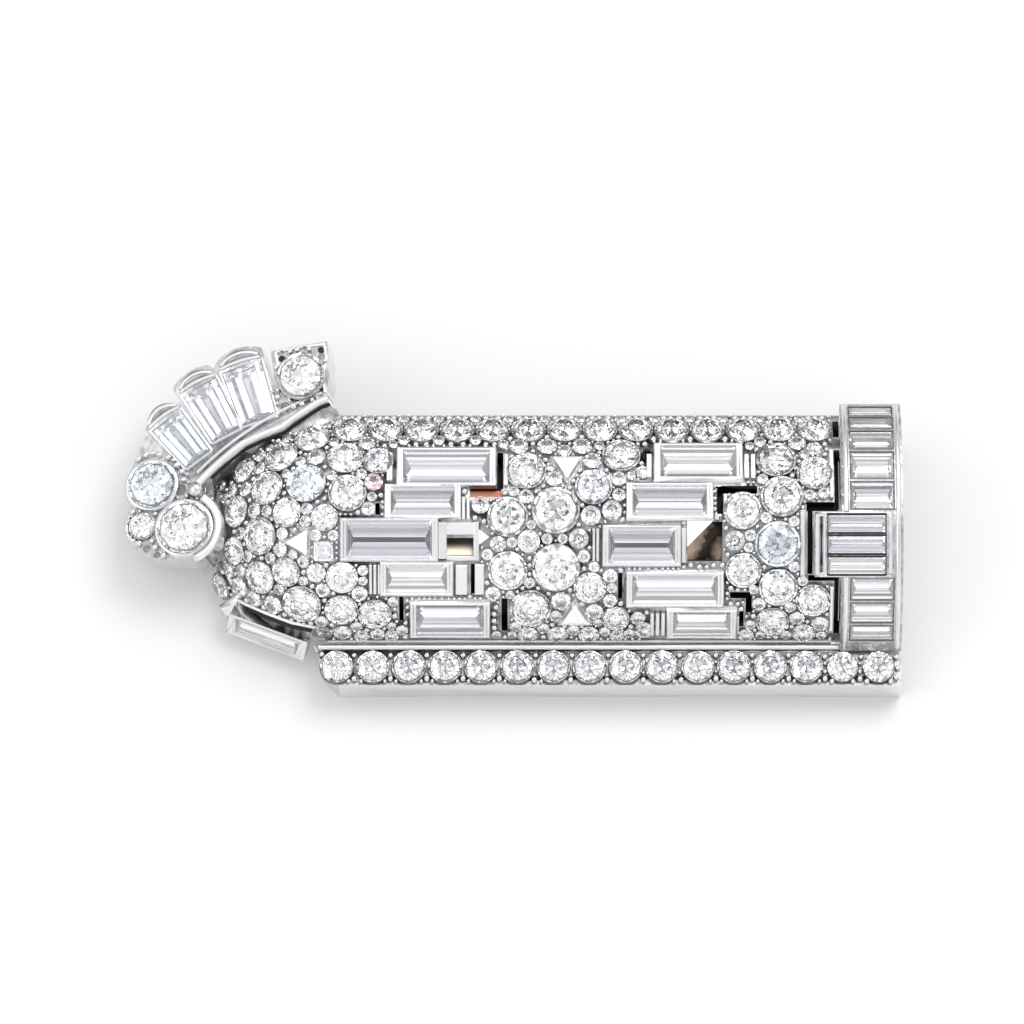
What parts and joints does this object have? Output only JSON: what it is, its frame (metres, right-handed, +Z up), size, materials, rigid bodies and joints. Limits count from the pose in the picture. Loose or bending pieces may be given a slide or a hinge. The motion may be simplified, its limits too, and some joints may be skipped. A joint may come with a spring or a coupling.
{
  "type": "dress clip",
  "caption": "Barrel shaped plaque with a domed end and a raised fan scroll, set with round and step cut stones, over a sprung clip that grips the edge of cloth.",
  "frame": {"origin": "under the middle of the clip, on the surface that it rests on", "axes": "+X along the clip towards the end band, +Y towards the back edge of the plaque, +Z up"},
  "size_m": [0.0446, 0.0198, 0.0078],
  "materials": {
    "platinum": "polished white metal",
    "gold": "satin yellow gold",
    "diamond": "faceted and clear"
  },
  "bodies": {
    "root": {"mount": "platinum", "clip_fitting": "gold", "baguette_1": "diamond", "baguette_2": "diamond", "baguette_3": "diamond", "baguette_4": "diamond", "baguette_5": "diamond", "baguette_6": "diamond", "baguette_7": "diamond", "baguette_8": "diamond", "baguette_9": "diamond", "baguette_10": "diamond", "band_stone_1": "diamond", "band_stone_2": "diamond", "band_stone_3": "diamond", "band_stone_4": "diamond", "band_stone_5": "diamond", "band_stone_6": "diamond", "band_stone_7": "diamond", "band_stone_8": "diamond", "band_stone_9": "diamond", "band_stone_10": "diamond", "band_stone_11": "diamond", "fan_baguette_1": "diamond", "fan_baguette_2": "diamond", "fan_baguette_3": "diamond", "scroll_round_1": "diamond", "scroll_round_2": "diamond", "scroll_round_3": "diamond", "scroll_round_4": "diamond", "centre_round_1": "diamond", "centre_round_2": "diamond", "corner_bar": "diamond", "rail_stones": "diamond", "top_row": "diamond", "foot_row": "diamond", "dome_pave": "diamond", "centre_pave": "diamond", "end_pave": "diamond"}
  },
  "joints": []
}
